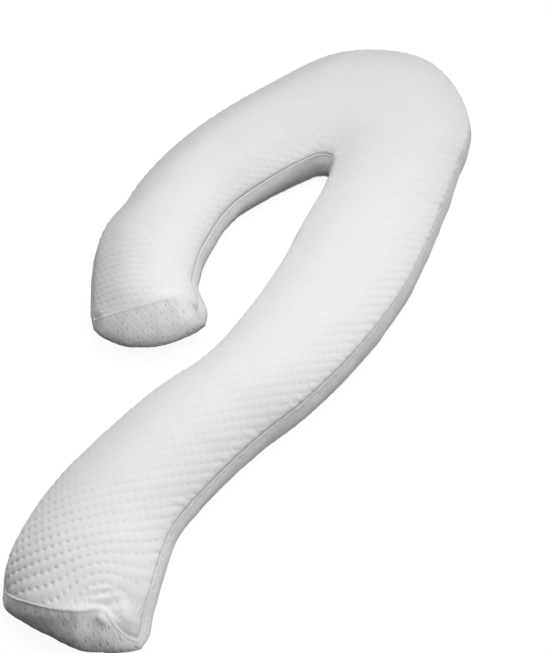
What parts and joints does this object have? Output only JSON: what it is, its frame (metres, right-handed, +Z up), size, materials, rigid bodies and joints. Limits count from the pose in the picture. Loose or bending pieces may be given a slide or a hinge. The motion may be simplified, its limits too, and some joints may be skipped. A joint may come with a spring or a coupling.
{
  "type": "pregnancy pillow",
  "caption": "Long filled pillow in the shape of a walking cane, with a straight leg, a wide bend and a short hook, in white dimpled knit.",
  "frame": {"origin": "middle of the pillow's length and width, on the surface that it lies on", "axes": "+Y along the leg from the foot towards the bend, +Z up, +X away from the hook"},
  "size_m": [0.6343, 1.3213, 0.1467],
  "materials": {
    "knit_cover": "matt white jersey knit with a raised dimple pattern"
  },
  "bodies": {
    "root": {"pregnancy_pillow": "knit_cover"}
  },
  "joints": []
}
